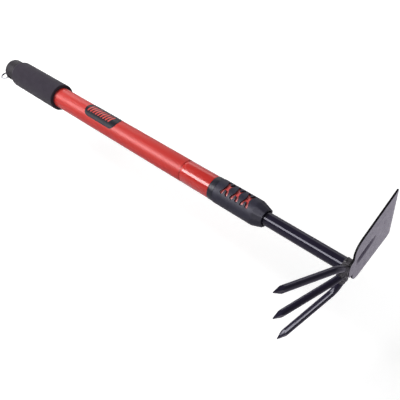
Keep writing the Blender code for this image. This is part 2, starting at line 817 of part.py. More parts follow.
def make_tine_weld(parts, cutters, material, carrier):
    """Lumpy bead round the tines' roots, under the neck weld and the blade's tab."""
    top = -BLADE_TAB_DROP - GAP
    centre = Vector((tine_x - TINE_R * 0.1, top - TINE_WELD_HALF[1] * 0.6, 0.0))
    bm = bmesh.new()
    bmesh.ops.create_uvsphere(bm, u_segments=20, v_segments=12, radius=1.0)
    for vert in bm.verts:
        lump = 1 + TINE_WELD_RIPPLE * math.sin(vert.co.z * 16) * (1 - vert.co.z ** 2)
        vert.co = Vector((vert.co.x * lump, vert.co.y * lump, vert.co.z))
    bm.transform(Matrix.Translation(centre) @ Matrix.Diagonal((*TINE_WELD_HALF, 1.0)))
    mesh = bpy.data.meshes.new("tine_weld")
    bm.to_mesh(mesh)
    bm.free()
    obj = new_object("tine_weld", mesh, parts)
    wide = TINE_WELD_HALF[2] * 2
    tab_back = blade_back - GAP
    cut(obj, block("tab_cutter", (tab_back, top, -wide), (blade_back + wide, wide, wide), cutters))
    tube_room = (inner_start, 0.0, 0.0), (inner_end, 0.0, 0.0)
    cut(obj, rod("tube_room_cutter", *tube_room, inner_r + GAP, LARGE_FACETS, cutters))
    bead_room = (neck_weld_back - GAP, 0.0, 0.0), (neck_weld_front + GAP, 0.0, 0.0)
    cut(obj, rod("bead_room_cutter", *bead_room, neck_weld_r + GAP, LARGE_FACETS, cutters))
    for side in (1, 0, -1):
        cut(obj, tine_curve(f"tine_weld_cutter_{side + 1}", side, GAP, cutters))
    return finish(obj, material, carrier)


def make_carrier(name, place, parent, parts):
    """Empty on a joint's axis that the pieces of one moving body hang on."""
    empty = new_object(name, None, parts)
    empty.location = Vector(place)
    if parent:
        empty.parent = parent
        empty.matrix_parent_inverse = Matrix.Translation(-parent.location)
    return empty


def build():
    clear_scene()
    parts = new_collection("telescopic_fork_hoe")
    cutters = new_collection("cutters")

    red_paint = new_material("red_paint", (0.62, 0.045, 0.04), 0.32, 0.2)
    dark_paint = new_material("dark_paint", (0.02, 0.018, 0.035), 0.28, 0.4)
    blade_paint = new_material("blade_paint", (0.10, 0.09, 0.12), 0.38, 0.5)
    black_plastic = new_material("black_plastic", (0.03, 0.028, 0.032), 0.55)
    black_rubber = new_material("black_rubber", (0.035, 0.034, 0.045), 0.6)
    foam = new_material("foam", (0.05, 0.045, 0.055), 0.9)
    red_plastic = new_material("red_plastic", (0.72, 0.07, 0.07), 0.4)
    white_plastic = new_material("white_plastic", (0.75, 0.74, 0.70), 0.45)
    label_film = new_material("label_film", (0.02, 0.02, 0.022), 0.35)
    bright_steel = new_material("bright_steel", (0.6, 0.6, 0.62), 0.25, 1.0)
    weld_metal = new_material("weld_metal", (0.07, 0.065, 0.08), 0.5, 0.5)

    entry, exit_point = hang_hole_ends()
    handle = make_carrier("handle_frame", (0.0, 0.0, 0.0), None, parts)
    hanger = make_carrier("hang_ring_frame", (entry + exit_point) / 2, handle, parts)
    clamp = make_carrier("clamp_frame", (clamp_start, 0.0, 0.0), handle, parts)
    nut = make_carrier("lock_nut_frame", (nut_start, 0.0, 0.0), clamp, parts)
    slider = make_carrier("telescope_frame", (bush_back, 0.0, 0.0), handle, parts)
    head = make_carrier("head_frame", (inner_end, 0.0, 0.0), slider, parts)
    bpy.context.view_layer.update()

    make_outer_tube(parts, red_paint, handle)
    make_end_cap(parts, cutters, black_plastic, handle)
    make_hang_ring(parts, bright_steel, hanger)
    make_foam_grip(parts, foam, handle)
    make_label(parts, label_film, handle)
    make_lock_body(parts, cutters, black_plastic, handle)
    make_clamp_ring(parts, white_plastic, clamp)
    make_lock_nut(parts, red_plastic, nut)
    make_nut_grip(parts, cutters, black_rubber, nut)
    make_guide_bush(parts, white_plastic, slider)
    make_inner_tube(parts, cutters, dark_paint, head)
    make_stop_pin(parts, bright_steel, head)
    make_end_plug(parts, black_plastic, head)
    make_neck_plug(parts, weld_metal, head)
    make_hoe_blade(parts, cutters, blade_paint, head)
    make_tine("tine_left", 1, parts, dark_paint, head)
    make_tine("tine_centre", 0, parts, dark_paint, head)
    make_tine("tine_right", -1, parts, dark_paint, head)
    make_neck_weld(parts, cutters, weld_metal, head)
    make_tine_weld(parts, cutters, weld_metal, head)


build()
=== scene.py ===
"""Telescopic fork hoe, dressed round its CAD parts.

A red handle tube with a foam grip holds a thin dark tube in a twist lock. The thin tube carries a hoe
blade and three tines. Lengths are in metres: +X runs from the butt to the head, +Y points to the
blade's cutting edge and +Z is up as the tool lies.
"""

import math

import bmesh
import bpy
from mathutils import Matrix, Vector, noise


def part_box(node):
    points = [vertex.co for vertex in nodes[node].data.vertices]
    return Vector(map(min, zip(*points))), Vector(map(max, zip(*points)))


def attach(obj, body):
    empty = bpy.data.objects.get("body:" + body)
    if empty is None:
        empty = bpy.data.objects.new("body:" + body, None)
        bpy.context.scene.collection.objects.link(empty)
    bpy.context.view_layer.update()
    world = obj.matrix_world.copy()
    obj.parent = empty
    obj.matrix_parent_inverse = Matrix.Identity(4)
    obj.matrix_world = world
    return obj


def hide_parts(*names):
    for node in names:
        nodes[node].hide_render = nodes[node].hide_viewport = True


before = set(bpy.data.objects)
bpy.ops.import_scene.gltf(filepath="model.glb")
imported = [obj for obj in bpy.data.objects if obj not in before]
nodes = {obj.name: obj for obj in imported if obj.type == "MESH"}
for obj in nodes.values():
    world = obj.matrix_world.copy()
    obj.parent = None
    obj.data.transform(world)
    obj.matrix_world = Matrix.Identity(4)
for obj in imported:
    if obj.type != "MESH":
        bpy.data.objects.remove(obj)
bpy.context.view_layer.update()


# The camera
# It stands above the head and looks back along the handle, rolled so that the butt is at the top left.
# Its lens and its place were fitted to the object's outlines.
def placed(name, data):
    """An object at the origin for a camera, lamp, mesh or curve, linked to the scene."""
    obj = bpy.data.objects.new(name, data)
    bpy.context.scene.collection.objects.link(obj)
    return obj


eye = bpy.data.cameras.new("eye")
eye.sensor_width = 36.0
eye.lens = 47.2
camera = placed("camera", eye)
camera.matrix_world = Matrix((
    (0.7334, -0.4535, 0.5064, 0.7517),
    (0.6632, 0.6408, -0.3866, -0.2662),
    (-0.1492, 0.6194, 0.7708, 0.4819),
    (0.0, 0.0, 0.0, 1.0),
))
bpy.context.scene.camera = camera


# The floor
# A wide pale sheet under the tool, low enough for the head to turn round above it. Light Path adds a white
# glow for the camera, and for reflections a painted reflection: a faintly violet glow, stronger in front of
# the blade, that lightens and tints the blade's face.
def mesh_from(name, bm):
    """A mesh with a bmesh's shape; the bmesh is freed."""
    mesh = bpy.data.meshes.new(name)
    bm.to_mesh(mesh)
    bm.free()
    return mesh


floor_height, floor_middle, floor_half = -0.115, 0.3, 12.0
floor_bm = bmesh.new()
bmesh.ops.create_grid(floor_bm, x_segments=1, y_segments=1, size=floor_half)
bmesh.ops.translate(floor_bm, verts=floor_bm.verts, vec=(floor_middle, 0.0, floor_height))
floor_mesh = mesh_from("floor", floor_bm)
placed("floor", floor_mesh)

pale_floor = bpy.data.materials.new("pale floor")
pale_floor.use_nodes = True
floor_nodes, floor_links = pale_floor.node_tree.nodes, pale_floor.node_tree.links
floor_shader = floor_nodes["Principled BSDF"]
floor_shader.inputs["Base Color"].default_value = (0.62, 0.62, 0.62, 1.0)
floor_shader.inputs["Roughness"].default_value = 0.9
floor_shader.inputs["Specular IOR Level"].default_value = 0.0
floor_rays = floor_nodes.new("ShaderNodeLightPath")
floor_place = floor_nodes.new("ShaderNodeTexCoord")
floor_parted = floor_nodes.new("ShaderNodeSeparateXYZ")
floor_links.new(floor_place.outputs["Object"], floor_parted.inputs["Vector"])
# Painted reflection: in reflections the floor glows brighter in front of the blade, so the blade's face shows
# lighter.
painted_blade_reflection = floor_nodes.new("ShaderNodeMapRange")
painted_blade_reflection.inputs["From Min"].default_value = 0.60
painted_blade_reflection.inputs["From Max"].default_value = 0.66
painted_blade_reflection.inputs["To Min"].default_value = 0.20
painted_blade_reflection.inputs["To Max"].default_value = 0.53
floor_links.new(floor_parted.outputs["X"], painted_blade_reflection.inputs["Value"])
floor_mirrored = floor_nodes.new("ShaderNodeMath")
floor_mirrored.operation = "MULTIPLY"
floor_links.new(floor_rays.outputs["Is Glossy Ray"], floor_mirrored.inputs[0])
floor_links.new(painted_blade_reflection.outputs["Result"], floor_mirrored.inputs[1])
# Painted reflection colour: the floor is white to the camera but faintly violet in reflections.
painted_reflection_tint = floor_nodes.new("ShaderNodeMix")
painted_reflection_tint.data_type = "RGBA"
painted_reflection_tint.inputs["A"].default_value = (0.87, 0.78, 1.0, 1.0)
painted_reflection_tint.inputs["B"].default_value = (1.0, 1.0, 1.0, 1.0)
floor_links.new(floor_rays.outputs["Is Camera Ray"], painted_reflection_tint.inputs["Factor"])
floor_links.new(painted_reflection_tint.outputs["Result"], floor_shader.inputs["Emission Color"])
floor_glow = floor_nodes.new("ShaderNodeMath")
floor_glow.operation = "MULTIPLY_ADD"
floor_glow.inputs[1].default_value = 0.65
floor_links.new(floor_rays.outputs["Is Camera Ray"], floor_glow.inputs[0])
floor_links.new(floor_mirrored.outputs["Value"], floor_glow.inputs[2])
floor_links.new(floor_glow.outputs["Value"], floor_shader.inputs["Emission Strength"])
floor_mesh.materials.append(pale_floor)


# The room's light and the lamps
# The room is bright at the horizon, dim overhead and white to the camera. A broad fill lamp lights the
# colours evenly, and soft boxes beside and beyond the handle draw the bright lines of glossy tubes.
room = bpy.data.worlds.new("room")
room.use_nodes = True
bpy.context.scene.world = room
room_nodes, room_links = room.node_tree.nodes, room.node_tree.links
room_light = room_nodes["Background"]
room_light.inputs["Color"].default_value = (1.0, 1.0, 1.0, 1.0)
room_direction = room_nodes.new("ShaderNodeTexCoord")
room_height = room_nodes.new("ShaderNodeSeparateXYZ")
room_links.new(room_direction.outputs["Generated"], room_height.inputs["Vector"])
room_fade = room_nodes.new("ShaderNodeMapRange")
room_fade.interpolation_type = "SMOOTHSTEP"
room_fade.inputs["From Min"].default_value = 0.0
room_fade.inputs["From Max"].default_value = 0.3
room_fade.inputs["To Min"].default_value = 0.8
room_fade.inputs["To Max"].default_value = 0.2
room_links.new(room_height.outputs["Z"], room_fade.inputs["Value"])
room_rays = room_nodes.new("ShaderNodeLightPath")
room_seen = room_nodes.new("ShaderNodeMath")
room_seen.operation = "MAXIMUM"
room_links.new(room_rays.outputs["Is Camera Ray"], room_seen.inputs[0])
room_links.new(room_fade.outputs["Result"], room_seen.inputs[1])
room_links.new(room_seen.outputs["Value"], room_light.inputs["Strength"])


def soft_box(name, place, target, size, power):
    """A rectangular lamp that faces a point; its long side runs along the handle."""
    lamp = bpy.data.lights.new(name, "AREA")
    lamp.shape = "RECTANGLE"
    lamp.size, lamp.size_y = size
    lamp.energy = power
    lamp_object = placed(name, lamp)
    back = (Vector(place) - Vector(target)).normalized()
    along = (Vector((1.0, 0.0, 0.0)) - back * back.x).normalized()
    across = back.cross(along)
    lamp_object.matrix_world = Matrix.Translation(place) @ Matrix((along, across, back)).transposed().to_4x4()
    return lamp_object


def round_handle(x, angle, distance):
    """A place at an angle round the handle's axis, in degrees from +Y towards +Z."""
    return (x, distance * math.cos(math.radians(angle)), distance * math.sin(math.radians(angle)))


for name, x, angle, distance, target_x, size, power in (
        ("long soft box", 0.15, 129, 1.4, 0.15, (3.0, 0.60), 68.0),
        ("side soft box", -0.55, 25, 1.6, -0.55, (2.3, 0.70), 7.0),
        ("far soft box", -1.65, 40, 1.5, 0.0, (0.9, 0.60), 9.0)):
    box = soft_box(name, round_handle(x, angle, distance), (target_x, 0.0, 0.0), size, power)
    box.visible_diffuse = False
fill = soft_box("broad fill", (-1.2, -0.45, 1.65), (0.2, 0.0, 0.0), (1.3, 1.3), 50.0)
fill.visible_glossy = False


# Outer tube
# Drawn steel tube in red enamel, satin along the hand's length and glossier below the groove that is
# rolled in to hold the lock body. Its lower end is rounded.
def new_finish(name, colour, roughness, **shader_values):
    """A material with one Principled shader, whose fixed numbers stand on the shader's own sockets."""
    material = bpy.data.materials.new(name)
    material.use_nodes = True
    shader = material.node_tree.nodes["Principled BSDF"]
    shader.inputs["Base Color"].default_value = (*colour, 1.0)
    shader.inputs["Roughness"].default_value = roughness
    for socket, value in shader_values.items():
        shader.inputs[socket.replace("_", " ")].default_value = value
    return material


def grain(material, scale, detail=3.0, stretch=(1.0, 1.0, 1.0), distortion=0.0):
    """Noise on the piece's own coordinates, stretched where the grain runs one way."""
    tree = material.node_tree
    place = tree.nodes.new("ShaderNodeTexCoord")
    turn = tree.nodes.new("ShaderNodeMapping")
    turn.inputs["Scale"].default_value = stretch
    pattern = tree.nodes.new("ShaderNodeTexNoise")
    pattern.inputs["Scale"].default_value = scale
    pattern.inputs["Detail"].default_value = detail
    pattern.inputs["Distortion"].default_value = distortion
    tree.links.new(place.outputs["Object"], turn.inputs["Vector"])
    tree.links.new(turn.outputs["Vector"], pattern.inputs["Vector"])
    return pattern.outputs["Fac"]


def ranged(material, pattern, start, end, low, high):
    """Maps a pattern's values from start..end to low..high."""
    tree = material.node_tree
    spread = tree.nodes.new("ShaderNodeMapRange")
    spread.inputs["From Min"].default_value = start
    spread.inputs["From Max"].default_value = end
    spread.inputs["To Min"].default_value = low
    spread.inputs["To Max"].default_value = high
    tree.links.new(pattern, spread.inputs["Value"])
    return spread.outputs["Result"]


def tint(material, pattern, low, high, start=0.3, end=0.7):
    """Lets a pattern move the colour between two shades."""
    tree = material.node_tree
    ramp = tree.nodes.new("ShaderNodeValToRGB")
    ramp.color_ramp.elements[0].position = start
    ramp.color_ramp.elements[0].color = (*low, 1.0)
    ramp.color_ramp.elements[1].position = end
    ramp.color_ramp.elements[1].color = (*high, 1.0)
    tree.links.new(pattern, ramp.inputs["Fac"])
    tree.links.new(ramp.outputs["Color"], tree.nodes["Principled BSDF"].inputs["Base Color"])


def gloss(material, pattern, low, high, start=0.3, end=0.7):
    """Lets a pattern move the roughness between two values."""
    result = ranged(material, pattern, start, end, low, high)
    tree = material.node_tree
    tree.links.new(result, tree.nodes["Principled BSDF"].inputs["Roughness"])


def relief(material, pattern, depth, strength=1.0):
    """Adds a pattern to the surface's bumps; depth is in metres."""
    tree = material.node_tree
    shader = tree.nodes["Principled BSDF"]
    bump = tree.nodes.new("ShaderNodeBump")
    bump.inputs["Strength"].default_value = strength
    bump.inputs["Distance"].default_value = depth
    tree.links.new(pattern, bump.inputs["Height"])
    if shader.inputs["Normal"].is_linked:
        tree.links.new(shader.inputs["Normal"].links[0].from_socket, bump.inputs["Normal"])
    tree.links.new(bump.outputs["Normal"], shader.inputs["Normal"])


def arc(centre_x, centre_r, radius, start, end, steps=6, stretch=1.0):
    """Profile points (x, radius) on an arc; the angle runs from outwards, 0, to +X, 90 degrees."""
    points = []
    for i in range(steps + 1):
        angle = math.radians(start + (end - start) * i / steps)
        points.append((centre_x + radius * stretch * math.sin(angle), centre_r + radius * math.cos(angle)))
    return points


def turned(profile, steps, closed=True):
    """A profile of (x, radius) points turned about the handle's axis with bmesh's spin."""
    bm = bmesh.new()
    verts = [bm.verts.new((x, radius, 0.0)) for x, radius in profile]
    pairs = list(zip(verts, verts[1:] + verts[:1])) if closed else list(zip(verts, verts[1:]))
    edges = [bm.edges.new(pair) for pair in pairs]
    bmesh.ops.spin(bm, geom=verts + edges, cent=(0, 0, 0), axis=(1, 0, 0), dvec=(0, 0, 0),
                   angle=math.tau, steps=steps, use_merge=True, use_duplicate=False)
    bmesh.ops.remove_doubles(bm, verts=bm.verts, dist=1e-6)
    bmesh.ops.recalc_face_normals(bm, faces=bm.faces)
    return bm


def piece_from(bm, name, body, material, slot, *replaced, sharp=35.0):
    """Turns a bmesh into a piece that rides on a body and stands for CAD nodes."""
    mesh = mesh_from(name, bm)
    mesh.shade_smooth()
    mesh.set_sharp_from_angle(angle=math.radians(sharp))
    mesh.materials.append(material)
    piece = placed(name, mesh)
    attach(piece, body)
    if replaced:
        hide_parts(*replaced)
    return piece


tube_low, tube_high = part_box("outer_tube")
tube_r = tube_high.y
tube_wall, tube_rounding = 0.0009, 0.0006
groove_x, groove_depth, groove_half, groove_steps = 0.3910, 0.0009, 0.0021, 16
groove = []
for i in range(groove_steps + 1):
    share = 2 * i / groove_steps - 1
    sunk = groove_depth * (1 + math.cos(share * math.pi)) / 2
    groove.append((groove_x + share * groove_half, tube_r - sunk))
tube_profile = [(tube_low.x, tube_r - tube_wall), (tube_low.x, tube_r)] + groove
tube_profile += arc(tube_high.x - tube_rounding, tube_r - tube_rounding, tube_rounding, 0, 90, 5)
tube_profile += [(tube_high.x, tube_r - tube_wall)]
tube_profile += [(x, radius - tube_wall) for x, radius in reversed(groove)]


def enamel(name, roughness, shine):
    """Red enamel of one gloss: a little cloudy in colour, with fine ripples."""
    finish = new_finish(name, (0.62, 0.050, 0.042), roughness, Specular_IOR_Level=shine)
    cloud = grain(finish, 24.0, 4.0, stretch=(0.4, 1.0, 1.0))
    tint(finish, cloud, (0.64, 0.030, 0.024), (0.71, 0.036, 0.029))
    gloss(finish, grain(finish, 260.0, 3.0), roughness - 0.03, roughness + 0.03)
    relief(finish, grain(finish, 420.0, 2.0), 0.00002, 0.15)
    return finish


handle_tube = piece_from(turned(tube_profile, 144), "handle_tube", "handle",
                         enamel("satin red enamel", 0.40, 0.34), "red_paint", "outer_tube")
for polygon in handle_tube.data.polygons:
    polygon.material_index = int(polygon.center.x > groove_x)
handle_tube.data.materials.append(enamel("glossy red enamel", 0.14, 0.60))


# End cap
# Moulded plastic cap, pressed over and into the tube's butt. Its rim is rounded, its flat end is a
# little sunk in the middle, and a slanting hole takes the ring.
def settled(obj):
    """A bmesh of an object's shape once its modifiers or curve settings are applied; the object goes."""
    bpy.context.view_layer.update()
    shape = bpy.data.meshes.new_from_object(obj.evaluated_get(bpy.context.evaluated_depsgraph_get()))
    bm = bmesh.new()
    bm.from_mesh(shape)
    data = obj.data
    bpy.data.objects.remove(obj)
    bpy.data.meshes.remove(shape)
    (bpy.data.curves if isinstance(data, bpy.types.Curve) else bpy.data.meshes).remove(data)
    return bm


def carved(bm, cutter_bm):
    """Takes a cutter's shape out of a bmesh with the Boolean modifier."""
    whole = placed("whole", mesh_from("whole", bm))
    cutter = placed("cutter", mesh_from("cutter", cutter_bm))
    cut = whole.modifiers.new("cut", "BOOLEAN")
    cut.object = cutter
    cut.solver = "EXACT"
    result = settled(whole)
    cutter_mesh = cutter.data
    bpy.data.objects.remove(cutter)
    bpy.data.meshes.remove(cutter_mesh)
    return result


def rod_between(start, end, radius, facets):
    """A round rod from one point to another, as a bmesh."""
    bm = bmesh.new()
    axis = Vector(end) - Vector(start)
    turn = axis.to_track_quat("Z", "Y").to_matrix().to_4x4()
    place = Matrix.Translation((Vector(start) + Vector(end)) / 2) @ turn
    bmesh.ops.create_cone(bm, cap_ends=True, segments=facets, radius1=radius, radius2=radius,
                          depth=axis.length, matrix=place)
    return bm


cap_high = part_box("end_cap")[1]
cap_r, cap_seat, skirt_end = cap_high.y, 0.0140, 0.0215
fit = 0.0003
plug_r = tube_r - tube_wall - fit
plug_wall = 0.0023
cap_rounding, cap_edge = 0.0022, 0.0005
cap_sink, sunk_r = 0.0007, 0.0078
cap_profile = [(cap_sink, 0.0), (cap_sink, sunk_r), (cap_sink * 0.8, sunk_r + 0.0004),
               (cap_sink * 0.25, sunk_r + 0.0008), (0.0, sunk_r + 0.0014)]
cap_profile += arc(cap_rounding, cap_r - cap_rounding, cap_rounding, -90, 0, 10)
cap_profile += arc(skirt_end - cap_edge, cap_r - cap_edge, cap_edge, 0, 90, 4)
cap_profile += [(skirt_end, tube_r + fit), (cap_seat, tube_r + fit), (cap_seat, plug_r)]
cap_profile += [(cap_high.x, plug_r), (cap_high.x, plug_r - plug_wall)]
cap_profile += [(cap_seat + plug_wall, plug_r - plug_wall), (cap_seat + plug_wall, 0.0)]
hole_r, hole_over = 0.0029, 0.01
hole_entry = Vector((0.0, 0.0070 - cap_r, 0.0))
hole_exit = Vector((0.0095, -cap_r, 0.0))
hole_way = (hole_exit - hole_entry).normalized()
hole_bm = rod_between(hole_entry - hole_way * hole_over, hole_exit + hole_way * hole_over, hole_r, 48)
cap_bm = carved(turned(cap_profile, 120, closed=False), hole_bm)
black_plastic = new_finish("black plastic", (0.025, 0.021, 0.028), 0.5, Specular_IOR_Level=0.22)
tint(black_plastic, grain(black_plastic, 70.0), (0.022, 0.018, 0.025), (0.027, 0.023, 0.030))
gloss(black_plastic, grain(black_plastic, 160.0), 0.50, 0.62)
relief(black_plastic, grain(black_plastic, 2200.0, 2.0), 0.00003, 0.4)
piece_from(cap_bm, "cap", "handle", black_plastic, "black_plastic", "end_cap")


# Hanging ring
# Bright zinc-plated wire, bent round through the slanting hole in the cap's rim. Its two cut ends nearly
# touch.
ring_wire_r, ring_r, ring_seat = 0.0012, 0.0068, 0.0013
ring_gap, ring_gap_place = math.radians(4), math.radians(35)
ring_out = Vector((hole_way.y, -hole_way.x, 0.0))
ring_centre = (hole_entry + hole_exit) / 2 + ring_out * (ring_r - ring_seat)
ring_bm = bmesh.new()
wire_place = Matrix.Translation((ring_r, 0.0, 0.0)) @ Matrix.Rotation(math.radians(90), 4, "X")
bmesh.ops.create_circle(ring_bm, cap_ends=True, segments=16, radius=ring_wire_r, matrix=wire_place)
bmesh.ops.spin(ring_bm, geom=ring_bm.faces[:], cent=(0, 0, 0), axis=(0, 0, 1), dvec=(0, 0, 0),
               angle=math.tau - ring_gap, steps=88, use_merge=False, use_duplicate=False)
bmesh.ops.recalc_face_normals(ring_bm, faces=ring_bm.faces)
ring_turn = math.atan2(ring_out.y, ring_out.x) + ring_gap_place
ring_bm.transform(Matrix.Translation(ring_centre) @ Matrix.Rotation(ring_turn, 4, "Z"))
bright_zinc = new_finish("bright zinc", (0.66, 0.66, 0.68), 0.25, Metallic=1.0)
tint(bright_zinc, grain(bright_zinc, 300.0), (0.30, 0.30, 0.33), (0.46, 0.46, 0.49))
gloss(bright_zinc, grain(bright_zinc, 700.0), 0.14, 0.28)
piece_from(ring_bm, "hanging_ring", "hanger", bright_zinc, "bright_steel", "hang_ring", sharp=50.0)


# Foam grip
# Closed-cell foam sleeve pushed over the tube: rounded towards the cap, cut square at its lower end. It
# is a little uneven, as cut foam is.
foam_low, foam_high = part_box("foam_grip")
foam_r, foam_bore = foam_high.y, tube_r + fit
foam_round, foam_round_stretch, foam_end_round = 0.0034, 1.6, 0.0010
foam_profile = [(foam_low.x, foam_bore)]
foam_profile += arc(foam_low.x + foam_round * foam_round_stretch, foam_r - foam_round, foam_round, -90, 0, 9,
                    stretch=foam_round_stretch)
foam_rings = 70
foam_start, foam_stop = foam_profile[-1][0], foam_high.x - foam_end_round
foam_straight = foam_stop - foam_start
foam_profile += [(foam_start + foam_straight * i / foam_rings, foam_r) for i in range(1, foam_rings)]
foam_profile += arc(foam_stop, foam_r - foam_end_round, foam_end_round, 0, 90, 4)
foam_profile += [(foam_high.x, foam_r - 0.0025), (foam_high.x, foam_bore)]
foam_bm = turned(foam_profile, 120)
foam_bm.normal_update()
foam_waves, foam_swell, foam_sink = 90.0, 0.00012, 0.00008
for vert in foam_bm.verts:
    if math.hypot(vert.co.y, vert.co.z) > foam_bore + 0.0005:
        vert.co += vert.normal * (noise.noise(vert.co * foam_waves) * foam_swell - foam_sink)
foam = new_finish("black foam", (0.036, 0.030, 0.043), 0.9, Specular_IOR_Level=0.15, Sheen_Weight=0.1)
tint(foam, grain(foam, 110.0, 5.0), (0.033, 0.026, 0.040), (0.041, 0.033, 0.049))
relief(foam, grain(foam, 1500.0, 2.0), 0.00018, 0.55)
foam_sleeve = piece_from(foam_bm, "foam_sleeve", "handle", foam, "foam", "foam_grip")


# Label
# Printed film wrapped on the tube's upper side, rounded at both ends, with a row of plain slanted bars
# in raised red ink.
def wrapped(bm, radius, film):
    """Wraps flat (x, angle) points on a radius and gives the sheet a film's thickness outwards."""
    for vert in bm.verts:
        x, angle = vert.co.x, vert.co.y
        vert.co = (x, radius * math.cos(angle), radius * math.sin(angle))
    bmesh.ops.recalc_face_normals(bm, faces=bm.faces)
    outwards = sum(face.calc_center_median().yz.dot(face.normal.yz) for face in bm.faces)
    if outwards < 0:
        bmesh.ops.reverse_faces(bm, faces=bm.faces)
    bm.normal_update()
    bmesh.ops.solidify(bm, geom=bm.faces[:], thickness=-film)
    bmesh.ops.recalc_face_normals(bm, faces=bm.faces)
    return bm


label_roundness = 2.6


def label_share(place, length):
    """Share of the label's full width at a share of its rounded end's length."""
    left = 1.0 - min(place / length, 1.0)
    return (1.0 - left ** label_roundness) ** 0.5


label_low, label_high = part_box("label")
label_length = label_high.x - label_low.x
label_middle, label_half = math.radians(85), math.radians(49)
label_film, label_r = 0.00022, tube_r + 0.0001
label_tip, label_tail, label_least = 0.0140, 0.0095, 0.02
label_bm = bmesh.new()
bmesh.ops.create_grid(label_bm, x_segments=72, y_segments=40, size=1.0)
for vert in label_bm.verts:
    place = (1 - math.cos((vert.co.x + 1) / 2 * math.pi)) / 2 * label_length
    share = min(label_share(max(place, 1e-5), label_tip),
                label_share(max(label_length - place, 1e-5), label_tail))
    vert.co = (label_low.x + place, label_middle - vert.co.y * label_half * max(share, label_least), 0.0)
black_film = new_finish("black film", (0.012, 0.012, 0.020), 0.38, Specular_IOR_Level=0.15)
gloss(black_film, grain(black_film, 120.0), 0.34, 0.46)
relief(black_film, grain(black_film, 500.0), 0.00002, 0.3)
piece_from(wrapped(label_bm, label_r, label_film), "label_film", "handle", black_film, "label_film", "label")

bar_count, bar_pitch, bar_width = 9, 0.0054, 0.0029
bar_start, bar_slant, bar_rise = label_low.x + 0.0085, 0.0032, 0.00008
bar_r = label_r + label_film - 0.00002
bar_angles = (math.radians(62), math.radians(106))
bars_bm = bmesh.new()
for k in range(bar_count):
    bar_bm = bmesh.new()
    bmesh.ops.create_grid(bar_bm, x_segments=4, y_segments=10, size=0.5)
    for vert in bar_bm.verts:
        rise = vert.co.y + 0.5
        angle = bar_angles[0] + (bar_angles[1] - bar_angles[0]) * rise
        x = bar_start + k * bar_pitch + vert.co.x * bar_width + (0.5 - rise) * bar_slant
        vert.co = (x, angle, 0.0)
    bar_mesh = mesh_from("bar", wrapped(bar_bm, bar_r, bar_rise))
    bars_bm.from_mesh(bar_mesh)
    bpy.data.meshes.remove(bar_mesh)
red_ink = new_finish("red ink", (0.62, 0.055, 0.045), 0.45)
tint(red_ink, grain(red_ink, 900.0), (0.64, 0.040, 0.032), (0.74, 0.055, 0.042))
piece_from(bars_bm, "label_bars", "handle", red_ink, "label_film")


# Lock body
# One moulding: a spigot held in the tube by the rolled groove, the flange that shows behind the nut, a
# ridged neck for the nut and four fingers that close on the inner tube.
lock_low, lock_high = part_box("lock_body")
flange_start, flange_end, flange_r = tube_high.x + fit, tube_high.x + 0.0081, lock_high.y
flange_rounding = 0.0004
neck_r, neck_end, neck_bevel = 0.0124, 0.4764, 0.0013
finger_r, finger_tip_r, guide_r = 0.01115, 0.00995, 0.00865
seat_half, seat_r, seat_step = 0.0025, plug_r - 0.0007, 0.0001
lock_profile = [(lock_low.x, guide_r), (lock_low.x, plug_r)]
lock_profile += [(groove_x - seat_half - seat_step, plug_r), (groove_x - seat_half, seat_r),
                 (groove_x + seat_half, seat_r), (groove_x + seat_half + seat_step, plug_r)]
lock_profile += [(flange_start, plug_r)]
lock_profile += arc(flange_start + flange_rounding, flange_r - flange_rounding, flange_rounding, -90, 0, 4)
lock_profile += arc(flange_end - flange_rounding, flange_r - flange_rounding, flange_rounding, 0, 90, 4)
lock_profile += [(flange_end, neck_r)]
ridge_count, ridge_pitch, ridge_slope, root_r = 8, 0.003, 0.0007, neck_r - 0.0006
ridge_start = flange_end + 0.002
for k in range(ridge_count):
    x = ridge_start + k * ridge_pitch
    lock_profile += [(x, neck_r), (x + ridge_slope, root_r), (x + 2 * ridge_slope, root_r),
                     (x + 3 * ridge_slope, neck_r)]
lock_profile += [(neck_end - neck_bevel, neck_r), (neck_end, finger_r), (lock_high.x, finger_tip_r),
                 (lock_high.x, guide_r)]
slots_bm = bmesh.new()
slot_reach, slot_length, slot_half, slot_over = 0.016, 0.0310, 0.0008, 0.002
for size in ((slot_reach, slot_half), (slot_half, slot_reach)):
    spread = Matrix.Diagonal((slot_length + slot_over, size[0] * 2, size[1] * 2, 1.0))
    middle = Matrix.Translation((lock_high.x - slot_length / 2 + slot_over / 2, 0.0, 0.0))
    bmesh.ops.create_cube(slots_bm, size=1.0, matrix=middle @ spread)
lock_bm = carved(turned(lock_profile, 128), slots_bm)
lock_plastic = new_finish("lock plastic", (0.022, 0.022, 0.034), 0.32, Specular_IOR_Level=0.25)
tint(lock_plastic, grain(lock_plastic, 60.0), (0.019, 0.018, 0.030), (0.025, 0.025, 0.038))
gloss(lock_plastic, grain(lock_plastic, 200.0), 0.28, 0.38)
relief(lock_plastic, grain(lock_plastic, 1800.0, 2.0), 0.00003, 0.3)
piece_from(lock_bm, "lock_moulding", "handle", lock_plastic, "black_plastic", "lock_body")


# Clamp ring, guide bush, stop pin and end plug
# Pieces inside the lock and the tubes that never show: they keep the CAD's shapes, with their facets
# smoothed, and get natural nylon, zinc and black plastic.
def paint(node, material):
    """Gives a CAD node that is shown as it is one material."""
    node.data.materials.clear()
    node.data.materials.append(material)


def smoothed(node):
    """Shades a CAD node's turned faces smoothly; its points stay where they are."""
    for polygon in node.data.polygons:
        polygon.use_smooth = True
    weld = node.modifiers.new("weld", "WELD")
    weld.merge_threshold = 1e-6
    split = node.modifiers.new("split", "EDGE_SPLIT")
    split.split_angle = math.radians(30)


